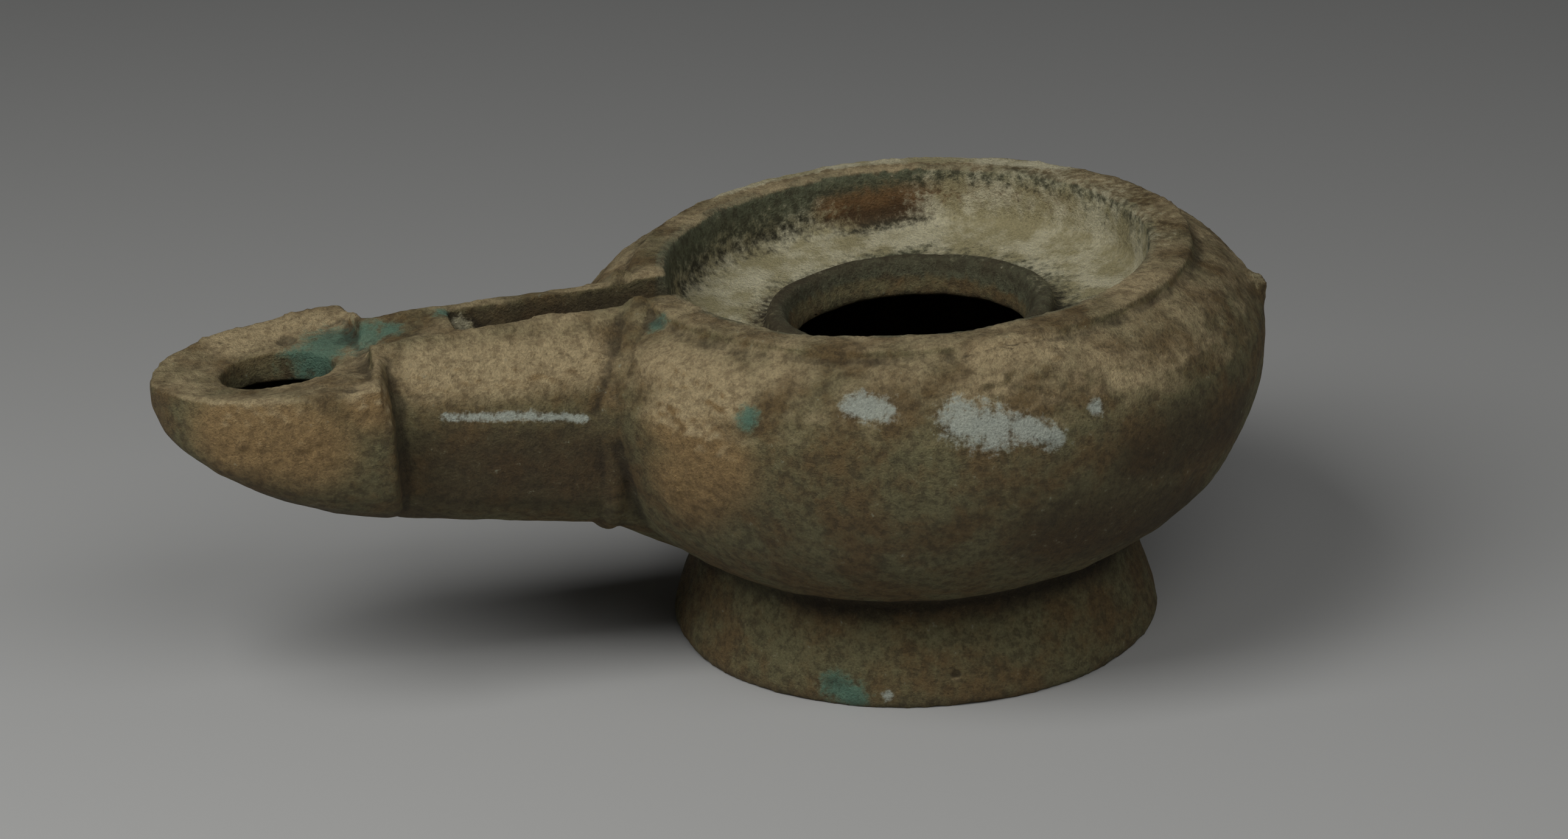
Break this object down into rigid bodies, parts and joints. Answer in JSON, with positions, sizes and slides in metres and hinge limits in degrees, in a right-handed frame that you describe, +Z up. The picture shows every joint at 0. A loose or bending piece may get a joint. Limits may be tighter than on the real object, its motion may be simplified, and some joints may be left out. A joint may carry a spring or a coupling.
{
  "type": "roman oil lamp",
  "caption": "Roman bronze oil lamp: round bowl on a flared ring foot, sunk disc with a collared filling hole, and a long nozzle with an open channel and a winged wick rest.",
  "frame": {"origin": "on the ground under the middle of the lamp's length and width", "axes": "+Z up from the foot's ring, the nozzle points along -X, +Y to the right when looking along the nozzle"},
  "size_m": [0.1228, 0.0778, 0.0441],
  "materials": {
    "bronze": "matte cast bronze under an old brown and green patina with crusts of lime"
  },
  "bodies": {
    "root": {"lamp": "bronze"}
  },
  "joints": []
}
